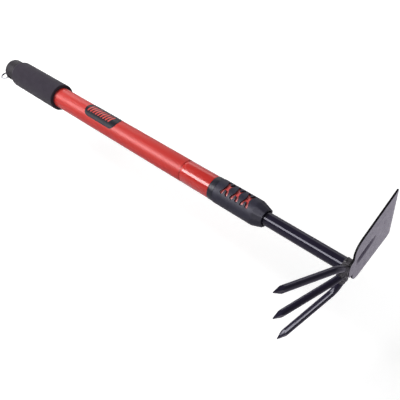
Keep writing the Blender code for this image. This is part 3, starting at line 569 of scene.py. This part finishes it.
natural_nylon = new_finish("natural nylon", (0.75, 0.74, 0.70), 0.45)
tint(natural_nylon, grain(natural_nylon, 60.0), (0.70, 0.69, 0.64), (0.78, 0.77, 0.73))
gloss(natural_nylon, grain(natural_nylon, 240.0), 0.4, 0.55)
for name, material in (("clamp_ring", natural_nylon), ("guide_bush", natural_nylon),
                       ("stop_pin", bright_zinc), ("end_plug", black_plastic)):
    paint(nodes[name], material)
    smoothed(nodes[name])


# Lock nut
# Hard red core that turns on the lock body's neck and fills the rubber skin. Only its side shows, as the
# red ground of the skin's windows.
nut_low, nut_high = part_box("nut_grip")
core_low, core_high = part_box("lock_nut")
core_r = core_high.y - 0.00055
core_bore, core_front, core_mouth = core_high.y - 0.0015, core_high.x - 0.0052, 0.00945
core_rounding = 0.0003
core_profile = [(core_low.x, core_bore)]
core_profile += arc(core_low.x + core_rounding, core_r - core_rounding, core_rounding, -90, 0, 3)
core_profile += [(core_high.x, core_r), (core_high.x, core_mouth), (core_front, core_mouth),
                 (core_front, core_bore)]
red_plastic = new_finish("red plastic", (0.74, 0.075, 0.07), 0.38)
tint(red_plastic, grain(red_plastic, 90.0), (0.70, 0.065, 0.06), (0.78, 0.085, 0.08))
gloss(red_plastic, grain(red_plastic, 200.0), 0.32, 0.46)
piece_from(turned(core_profile, 128), "nut_core", "nut", red_plastic, "red_plastic", "lock_nut")


# Nut skin
# Soft rubber moulded over the core: two rows of crossed windows with rounded edges, and a nose of twelve
# flats round the inner tube. It is cut flat from a smooth outline, sliced and wrapped round the core.
def cut_sheet(loops, thickness, rounding, steps):
    """A flat sheet cut to smooth closed outlines of (x, y, is a corner) points, with rounded edges."""
    outline = bpy.data.curves.new("outline", "CURVE")
    outline.dimensions = "2D"
    outline.fill_mode = "BOTH"
    outline.resolution_u = steps
    outline.extrude = thickness / 2 - rounding
    outline.bevel_depth = rounding
    outline.bevel_resolution = 1
    outline.offset = -rounding
    for loop in loops:
        spline = outline.splines.new("BEZIER")
        spline.bezier_points.add(len(loop) - 1)
        spline.use_cyclic_u = True
        for point, (x, y, corner) in zip(spline.bezier_points, loop):
            point.co = (x, y, 0.0)
            point.handle_left_type = point.handle_right_type = "VECTOR" if corner else "AUTO"
    bm = settled(placed("outline", outline))
    bmesh.ops.remove_doubles(bm, verts=bm.verts, dist=1e-6)
    bmesh.ops.recalc_face_normals(bm, faces=bm.faces)
    return bm


def slice_up(bm, normal, places):
    """Cuts a mesh's faces where they cross a row of parallel planes."""
    normal = Vector(normal)
    for place in places:
        bmesh.ops.bisect_plane(bm, geom=bm.verts[:] + bm.edges[:] + bm.faces[:], dist=1e-7,
                               plane_co=normal * place, plane_no=normal)


skin_r, skin_bore, mouth_bore = nut_high.y, core_r + 0.0001, 0.00955
mouth_start = core_high.x + 0.0003
window_half_angle, window_half = math.radians(42), 0.0054
window_stroke, window_waist, window_crotch = 0.0035, 0.0029, 0.38
window_rows = (math.radians(85), math.radians(265))
window_columns = [nut_low.x + 0.0145 + 0.0148 * k for k in range(3)]


def window_loop(centre_x, centre_angle):
    """One crossed window, four legs from a waist, on the unrolled skin."""
    inside = window_half - window_stroke
    leg = [(window_waist, 0.0), (window_waist + 0.0002, window_crotch * 0.6),
           (window_half - 0.0003, 0.68), (window_half, 0.90), (window_half - 0.0009, 0.985),
           (inside + 0.0009, 0.985), (inside, 0.90), (inside - 0.0003, 0.68)]
    upper = leg + [(0.0, window_crotch)] + [(-x, y) for x, y in reversed(leg)]
    lower = [(-x, -y) for x, y in upper[1:-1]]
    return [(centre_x + x, (centre_angle + share * window_half_angle) * skin_r, False)
            for x, share in upper + lower]


girth = math.tau * skin_r
seam_angle = math.radians(175)
seam_start = (seam_angle - math.tau) * skin_r
seam_end = seam_start + girth
overlap = 0.005
sheet_loops = [[(nut_low.x, seam_start - overlap, True), (nut_high.x, seam_start - overlap, True),
                (nut_high.x, seam_end + overlap, True), (nut_low.x, seam_end + overlap, True)]]
for angle in window_rows:
    middle = angle if angle < seam_angle else angle - math.tau
    sheet_loops += [window_loop(x, middle) for x in window_columns]
skin_thickness = skin_r - skin_bore
window_rounding = 0.0003
skin_bm = cut_sheet(sheet_loops, skin_thickness, window_rounding, 6)
for place, outward in ((seam_start, -1.0), (seam_end, 1.0)):
    bmesh.ops.bisect_plane(skin_bm, geom=skin_bm.verts[:] + skin_bm.edges[:] + skin_bm.faces[:], dist=1e-7,
                           plane_co=(0.0, place, 0.0), plane_no=(0.0, outward, 0.0), clear_outer=True)
skin_steps = 144
slice_up(skin_bm, (0.0, 1.0, 0.0), [seam_start + girth * k / skin_steps for k in range(1, skin_steps)])
nose_start, nose_slice = nut_high.x - 0.0135, 0.0005
slice_up(skin_bm, (1.0, 0.0, 0.0), [nose_start + nose_slice * k for k in range(26)])
slice_up(skin_bm, (1.0, 0.0, 0.0), [mouth_start - 0.0001, mouth_start + 0.0001])

nose_flats, nose_turn, nose_length = 12, math.radians(7.5), 0.0115
nose_lip = mouth_bore + 0.0020
nose_sharpness = 90.0
flat_angles = [nose_turn + math.tau * (k + 0.5) / nose_flats for k in range(nose_flats)]
nose_slope = (skin_r * math.cos(math.pi / nose_flats) - nose_lip) / nose_length
for vert in skin_bm.verts:
    x, angle = vert.co.x, vert.co.y / skin_r
    depth = (vert.co.z + skin_thickness / 2) / skin_thickness
    apothem = nose_lip + (nut_high.x - x) * nose_slope
    nearness = (1 / skin_r) ** nose_sharpness
    for flat in flat_angles:
        nearness += max(math.cos(angle - flat) / apothem, 0.0) ** nose_sharpness
    outside = nearness ** (-1 / nose_sharpness)
    inside = skin_bore if x < mouth_start else mouth_bore
    radius = inside + (outside - inside) * depth
    vert.co = (x, radius * math.cos(angle), radius * math.sin(angle))
bmesh.ops.remove_doubles(skin_bm, verts=skin_bm.verts, dist=2e-6)
bmesh.ops.recalc_face_normals(skin_bm, faces=skin_bm.faces)
black_rubber = new_finish("black rubber", (0.023, 0.021, 0.034), 0.5, Specular_IOR_Level=0.25)
tint(black_rubber, grain(black_rubber, 50.0), (0.020, 0.018, 0.035), (0.026, 0.024, 0.044))
gloss(black_rubber, grain(black_rubber, 200.0), 0.44, 0.58)
relief(black_rubber, grain(black_rubber, 1600.0, 2.0), 0.00004, 0.4)
piece_from(skin_bm, "nut_skin", "nut", black_rubber, "black_rubber", "nut_grip", sharp=14.0)


# Inner tube
# Thin drawn steel tube in glossy near-black enamel. It slides out of the lock and turns in it, and its
# lower end is welded to the head.
inner_low, inner_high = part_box("inner_tube")
inner_r = inner_high.y
inner_wall, inner_rounding = 0.0012, 0.0003
inner_profile = [(inner_low.x, inner_r - inner_wall)]
inner_profile += arc(inner_low.x + inner_rounding, inner_r - inner_rounding, inner_rounding, -90, 0, 3)
inner_profile += arc(inner_high.x - inner_rounding, inner_r - inner_rounding, inner_rounding, 0, 90, 3)
inner_profile += [(inner_high.x, inner_r - inner_wall)]
dark_enamel = new_finish("dark enamel", (0.018, 0.015, 0.034), 0.13, Specular_IOR_Level=0.32,
                         Specular_Tint=(0.90, 0.89, 1.0, 1.0))
tint(dark_enamel, grain(dark_enamel, 40.0), (0.017, 0.014, 0.031), (0.022, 0.018, 0.038))
gloss(dark_enamel, grain(dark_enamel, 260.0), 0.10, 0.16)
relief(dark_enamel, grain(dark_enamel, 380.0, 2.0), 0.00001, 0.1)
piece_from(turned(inner_profile, 96), "slide_tube", "head", dark_enamel, "dark_paint", "inner_tube")


# Hoe blade
# Sheet steel sheared to an outline with a tab and round shoulders, creased for stiffness, leant back a
# little and thinned towards its cutting edge. It is lacquered dark violet-grey; its rim is painted almost
# black, as painted shade along the sheet's thickness.
blade_thickness, blade_rounding = 0.0023, 0.00015
blade_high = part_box("hoe_blade")[1]
blade_lean = math.tan(math.radians(2.0))
blade_back = 0.6240
blade_side = [(-0.0066, 0.0040), (-0.0060, 0.0078), (-0.0046, 0.0110), (-0.0026, 0.0124), (-0.0004, 0.0128),
              (0.0010, 0.0126), (0.0019, 0.0136), (0.0022, 0.0160), (0.0025, 0.0195), (0.0034, 0.0242),
              (0.0056, 0.0279), (0.0080, 0.0302), (0.0113, 0.0321), (0.0155, 0.0333), (0.0300, 0.0345),
              (0.0600, 0.0370), (0.0860, 0.03915)]
blade_loop = [(y, half, False) for y, half in blade_side] + [(0.0876, 0.0392, True), (0.0880, 0.0389, True)]
blade_loop += [(0.0880, 0.0150, True), (0.0880, -0.0150, True)]
blade_loop += [(0.0880, -0.0389, True), (0.0876, -0.0392, True)]
blade_loop += [(y, -half, False) for y, half in reversed(blade_side)]
blade_bm = cut_sheet([blade_loop], blade_thickness, blade_rounding, 5)
row_pitch, fine_start, fine_pitch, side_pitch = 0.0015, 0.0030, 0.0005, 0.004
crease_foot_pitch, thinned_start = 0.0012, 0.0805
slice_up(blade_bm, (1.0, 0.0, 0.0), [row_pitch * k for k in range(-4, 53)])
slice_up(blade_bm, (1.0, 0.0, 0.0), [thinned_start + row_pitch * k for k in range(5)])
slice_up(blade_bm, (0.0, 1.0, 0.0), [crease_foot_pitch * k for k in range(-9, 3)])
slice_up(blade_bm, (0.0, 1.0, 0.0), [fine_start + fine_pitch * k for k in range(14)])
slice_up(blade_bm, (0.0, 1.0, 0.0), [side_pitch * k for k in range(-9, 10) if not -4 < k < 3])
crease_start, crease_length, crease_depth = 0.0070, 0.0400, 0.0032
crease_aside, crease_slant = 0.0040, 0.0016
crease_below, crease_above, crease_wall = 0.0092, 0.0055, 0.0015
thinned_length, edge_share = 0.0075, 0.8


def crease(y, z):
    """How far the crease sinks the sheet: steep on its upper side, gentle below, faded at both ends."""
    share = (y - crease_start) / crease_length
    if not 0.0 < share < 1.0:
        return 0.0
    aside = z - (crease_aside + crease_slant * share)
    if aside < 0:
        profile = max(1 + aside / crease_below, 0.0)
        profile = profile * profile * (3 - 2 * profile)
    else:
        wall = 0.75 * math.exp(-(aside / crease_wall) ** 2)
        profile = wall + 0.25 * max(1 - aside / crease_above, 0.0) ** 1.5
    return crease_depth * math.sin(math.pi * share ** 0.75) ** 0.9 * profile


# The sheet's rim faces take the second material, a near-black painted shade along its edges.
for face in blade_bm.faces:
    face.material_index = int(abs(face.normal.z) < 0.9)
for vert in blade_bm.verts:
    y, z, lift = vert.co.x, vert.co.y, vert.co.z + blade_thickness / 2
    thinned = max((y - (blade_high.y - thinned_length)) / thinned_length, 0.0)
    lift *= 1 - (1 - edge_share) * thinned
    vert.co = (blade_back - y * blade_lean - crease(y, z) + lift, y, z)
bmesh.ops.recalc_face_normals(blade_bm, faces=blade_bm.faces)
blade_lacquer = new_finish("blade lacquer", (0.036, 0.028, 0.050), 0.26,
                           Specular_Tint=(0.85, 0.76, 1.0, 1.0))
tint(blade_lacquer, grain(blade_lacquer, 60.0, 4.0), (0.024, 0.018, 0.035), (0.036, 0.028, 0.050))
gloss(blade_lacquer, grain(blade_lacquer, 130.0, 4.0), 0.20, 0.30)
relief(blade_lacquer, grain(blade_lacquer, 260.0, 3.0), 0.00004, 0.2)
blade = piece_from(blade_bm, "blade", "head", blade_lacquer, "blade_paint", "hoe_blade", sharp=14.0)
# Painted shade: a near-black finish for the blade's rim, standing in for the shadow along its thickness.
painted_rim_shade = new_finish("painted rim shade", (0.004, 0.003, 0.005), 0.5, Specular_IOR_Level=0.1)
tint(painted_rim_shade, grain(painted_rim_shade, 500.0), (0.002, 0.002, 0.003), (0.006, 0.005, 0.008))
blade.data.materials.append(painted_rim_shade)


# Tines
# Three round steel bars bent back from the weld, each ground to a four-sided point and enamelled.
tine_r, tine_blunt, tine_point = 0.0039, 0.0004, 0.0125
tine_x = inner_high.x + 0.0036
tine_top = -(inner_r + 0.0007)
root_aside, bend_back, bend_drop, bend_aside = 0.0085, 0.0039, 0.0175, 0.0235


def tine_bm(side):
    """One tine, for the left side, 1, the middle, 0, or the right side, -1."""
    outer = abs(side)
    root = Vector((tine_x + (1 - outer) * 0.0007, tine_top, side * root_aside))
    bend = Vector((tine_x - bend_back, tine_top - bend_drop, side * bend_aside))
    tip = Vector((tine_x - 0.0266 + outer * 0.0012, outer * 0.0025 - 0.0936, side * 0.0509))
    shaft = (tip - bend).normalized()
    reach = (bend - root).length / 3
    start = ((bend - shaft * reach) - root).normalized()
    curve = bpy.data.curves.new("tine", "CURVE")
    curve.dimensions = "3D"
    curve.resolution_u = 24
    curve.bevel_depth = tine_r
    curve.bevel_resolution = 8
    curve.use_fill_caps = True
    spline = curve.splines.new("BEZIER")
    spline.bezier_points.add(2)
    for point, place, heading in zip(spline.bezier_points, (root, bend, tip), (start, shaft, shaft)):
        point.co = place
        point.handle_left = place - heading * reach
        point.handle_right = place + heading * reach
    bm = settled(placed("tine", curve))
    bmesh.ops.remove_doubles(bm, verts=bm.verts, dist=1e-6)
    across = shaft.cross(Vector((0.0, 0.0, 1.0))).normalized()
    other = shaft.cross(across)
    slope = math.atan2(tine_r - tine_blunt, tine_point)
    for outward in (across, -across, other, -other):
        bmesh.ops.bisect_plane(
            bm, geom=bm.verts[:] + bm.edges[:] + bm.faces[:], dist=1e-7, clear_outer=True,
            plane_co=tip + outward * tine_blunt, plane_no=outward * math.cos(slope) + shaft * math.sin(slope))
        bmesh.ops.holes_fill(bm, edges=[edge for edge in bm.edges if edge.is_boundary], sides=0)
    bmesh.ops.recalc_face_normals(bm, faces=bm.faces)
    return bm


for place, side in (("left", 1), ("centre", 0), ("right", -1)):
    piece_from(tine_bm(side), f"bar_{place}", "head", dark_enamel, "dark_paint", f"tine_{place}", sharp=20.0)


# Welds
# Arc welds lacquered with the head: a bead round the tube's end against the blade, and a lumpy puddle
# that holds the tines' roots under the blade's tab. The core in the tube's end keeps its CAD shape.
def lumpy(bm, scale, depth, seed):
    """Pushes a mesh in and out along its normals, as solidified weld pools do."""
    bm.normal_update()
    shift = Vector((seed, seed * 0.7, seed * 1.3))
    for vert in bm.verts:
        pools = noise.noise(vert.co * scale + shift) + 0.5 * noise.noise(vert.co * scale * 2.3 + shift)
        vert.co += vert.normal * pools * depth
    return bm


weld_lacquer = new_finish("weld lacquer", (0.035, 0.031, 0.042), 0.35)
tint(weld_lacquer, grain(weld_lacquer, 300.0, 4.0), (0.004, 0.003, 0.006), (0.042, 0.034, 0.044), 0.38, 0.68)
gloss(weld_lacquer, grain(weld_lacquer, 420.0, 3.0), 0.25, 0.60)
relief(weld_lacquer, grain(weld_lacquer, 900.0, 3.0), 0.0003, 0.7)


def fused(bm, voxel, rounds):
    """Melts overlapping shapes into one closed skin with Remesh and Smooth."""
    block = placed("fused", mesh_from("fused", bm))
    melt = block.modifiers.new("melt", "REMESH")
    melt.mode = "VOXEL"
    melt.voxel_size = voxel
    soften = block.modifiers.new("soften", "SMOOTH")
    soften.factor = 0.5
    soften.iterations = rounds
    return settled(block)


bead_back, bead_front = inner_high.x - 0.0022, blade_back + 0.0002
bead_pools, bead_pool_r, bead_row_turn = 22, inner_r - 0.0006, 0.14
bead_start = bead_back + 0.0006
bead_profile = [(bead_start, inner_r - 0.0004)]
bead_profile += arc((bead_back + bead_front) / 2, inner_r - 0.0002, 0.0010, -70, 70, 6, stretch=3.4)
bead_profile += [(bead_front, inner_r - 0.0004), (bead_front, inner_r - 0.0018),
                 (bead_start, inner_r - 0.0018)]
bead_bm = turned(bead_profile, 96)
for k in range(bead_pools):
    angle = math.tau * (k + 0.3 * noise.noise(Vector((k * 1.7, 0.0, 0.0)))) / bead_pools
    for row, x in enumerate((bead_back + 0.0016, bead_front - 0.0018)):
        size = 0.0017 + 0.0003 * noise.noise(Vector((k * 2.1, row * 5.0, 3.0)))
        turn = angle + row * bead_row_turn
        place = Vector((x, bead_pool_r * math.cos(turn), bead_pool_r * math.sin(turn)))
        spread = Matrix.Translation(place) @ Matrix.Diagonal((size * 1.25, size, size, 1.0))
        bmesh.ops.create_icosphere(bead_bm, subdivisions=2, radius=1.0, matrix=spread)
piece_from(lumpy(fused(bead_bm, 0.00035, 3), 500.0, 0.00018, 1.0), "neck_bead", "head", weld_lacquer,
           "weld_metal", "neck_weld", sharp=180.0)

puddle_centre = Vector((tine_x - 0.0004, -0.0111, 0.0))
puddle_core, puddle_reach = (0.0050, 0.0064, 0.0122), (0.0042, 0.0054, 0.0112)
puddle_pools, golden_turn = 46, 2.39996
puddle_bm = bmesh.new()
spread = Matrix.Translation(puddle_centre) @ Matrix.Diagonal((*puddle_core, 1.0))
bmesh.ops.create_icosphere(puddle_bm, subdivisions=4, radius=1.0, matrix=spread)
for k in range(puddle_pools):
    turn = k * golden_turn
    level = 1 - 2 * (k + 0.5) / puddle_pools
    girdle = math.sqrt(1 - level * level)
    size = 0.0020 + 0.0007 * noise.noise(Vector((k * 3.1, 1.0, 2.0)))
    reach_x, reach_y, reach_z = puddle_reach
    offset = Vector((reach_x * girdle * math.cos(turn), reach_y * girdle * math.sin(turn), reach_z * level))
    bmesh.ops.create_icosphere(puddle_bm, subdivisions=2, radius=size,
                               matrix=Matrix.Translation(puddle_centre + offset))
for side in (-1, 1):
    root = Vector((tine_x, tine_top, side * root_aside))
    way = (Vector((tine_x - bend_back, tine_top - bend_drop, side * bend_aside)) - root).normalized()
    for reach, size in ((0.0006, 0.0052), (0.0042, 0.0048)):
        bmesh.ops.create_icosphere(puddle_bm, subdivisions=3, radius=size,
                                   matrix=Matrix.Translation(root + way * reach))
piece_from(lumpy(fused(puddle_bm, 0.00045, 8), 300.0, 0.0004, 4.0), "tine_puddle", "head", weld_lacquer,
           "weld_metal", "tine_weld", sharp=180.0)
paint(nodes["neck_plug"], weld_lacquer)
smoothed(nodes["neck_plug"])


# The picture's colours
bpy.context.scene.view_settings.view_transform = "Standard"
